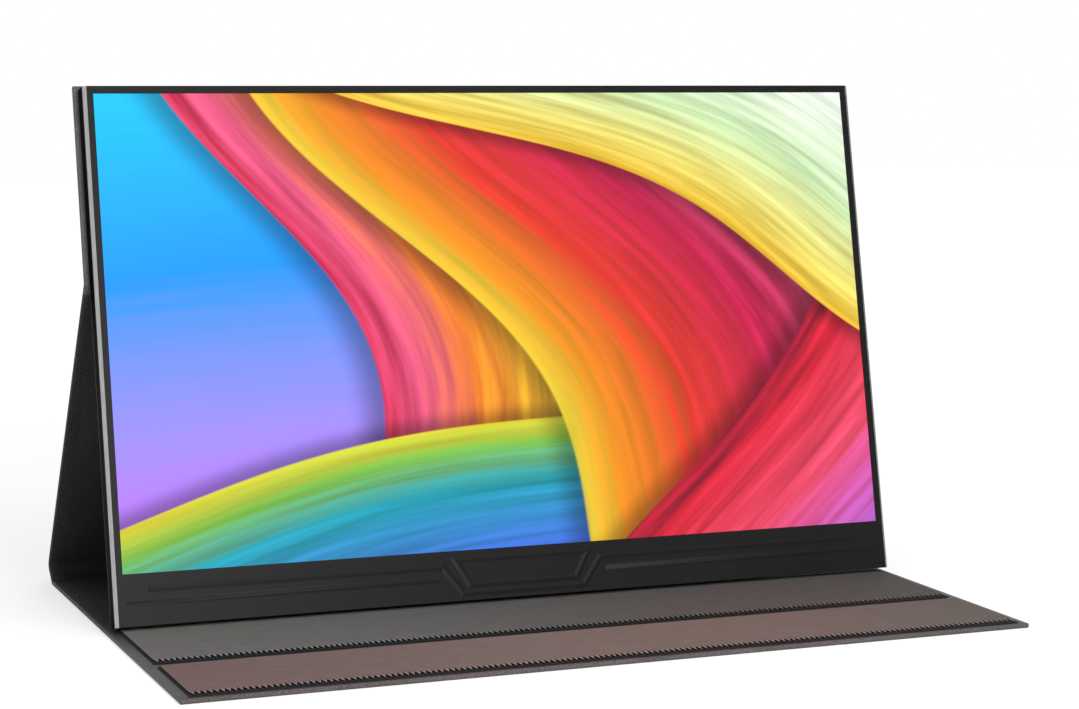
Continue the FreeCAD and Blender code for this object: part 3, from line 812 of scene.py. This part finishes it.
def seenDirectly(tree):  # camera, glossy and transmission rays see the white background
    rays = addNode(tree, "ShaderNodeLightPath").outputs
    seen = mathNode(tree, "MAXIMUM", rays["Is Camera Ray"], rays["Is Glossy Ray"])
    return mathNode(tree, "MAXIMUM", seen, rays["Is Transmission Ray"])


def makeFloor():
    bm = bmesh.new()
    bmesh.ops.create_grid(bm, x_segments=1, y_segments=1, size=studio["floorSize"] / 2)
    mesh = bpy.data.meshes.new("floor")
    bm.to_mesh(mesh)
    bm.free()
    mat = bpy.data.materials.new("paleFloor")
    mat.use_nodes = True
    tree = mat.node_tree
    tree.nodes.clear()
    plain = addNode(tree, "ShaderNodeBsdfDiffuse", {"Color": (*grey(studio["floorPlain"]), 1)})
    shade = addNode(tree, "ShaderNodeBsdfDiffuse", {"Color": (*grey(studio["floorShade"]), 1)})
    away = addNode(tree, "ShaderNodeVectorMath", {0: objectCoords(tree)}, operation="LENGTH")
    level = spread(tree, away.outputs["Value"], studio["floorFade"], studio["floorGlow"])
    glow = addNode(tree, "ShaderNodeEmission", {"Color": (1, 1, 1, 1), "Strength": level})
    bright = addNode(tree, "ShaderNodeAddShader", {0: shade.outputs[0], 1: glow.outputs[0]})
    mix = addNode(tree, "ShaderNodeMixShader",
                  {0: seenDirectly(tree), 1: plain.outputs[0], 2: bright.outputs[0]})
    addNode(tree, "ShaderNodeOutputMaterial", {"Surface": mix.outputs[0]})
    mesh.materials.append(mat)
    floor = bpy.data.objects.new("floor", mesh)
    scene.collection.objects.link(floor)


def makeWorld():
    world = bpy.data.worlds.new("studio")
    scene.world = world
    world.use_nodes = True
    tree = world.node_tree
    back = tree.nodes["Background"]
    level = spread(tree, seenDirectly(tree), (0.0, 1.0), (studio["worldLight"], 1.0))
    tree.links.new(level, back.inputs["Strength"])
    back.inputs["Color"].default_value = (1, 1, 1, 1)


def makeLamps():
    for name, (place, power, width, height) in studio["lamps"].items():
        lamp = bpy.data.lights.new(name, "AREA")
        lamp.shape = "RECTANGLE"
        lamp.energy = power
        lamp.size = width
        lamp.size_y = height
        obj = bpy.data.objects.new(name, lamp)
        obj.location = place
        look = Vector(studio["aim"]) - obj.location
        obj.rotation_euler = look.to_track_quat("-Z", "Y").to_euler()
        scene.collection.objects.link(obj)


camera = {
    "fromFoot": (-0.39956, -1.00804, 0.22581),
    "yaw": math.radians(21.93),
    "pitch": math.radians(6.44),
    "roll": math.radians(0.18),
    "lens": 86.47,
    "sensor": 36.0,
}


def makeCamera():
    yaw, pitch, roll = camera["yaw"], camera["pitch"], camera["roll"]
    level = Vector((math.sin(yaw), math.cos(yaw), 0))
    ahead = level * math.cos(pitch) - Vector((0, 0, math.sin(pitch)))
    right = Vector((math.cos(yaw), -math.sin(yaw), 0))
    up = right.cross(ahead)
    rolledRight = right * math.cos(roll) + up * math.sin(roll)
    rolledUp = up * math.cos(roll) - right * math.sin(roll)
    data = bpy.data.cameras.new("camera")
    data.sensor_fit = "HORIZONTAL"
    data.sensor_width = camera["sensor"]
    data.lens = camera["lens"]
    obj = bpy.data.objects.new("camera", data)
    obj.matrix_world = Matrix((rolledRight, rolledUp, -ahead)).transposed().to_4x4()
    obj.location = foot + Vector(camera["fromFoot"])
    scene.collection.objects.link(obj)
    scene.camera = obj


makeFloor()
makeWorld()
makeLamps()
makeCamera()
print("studio and camera set")
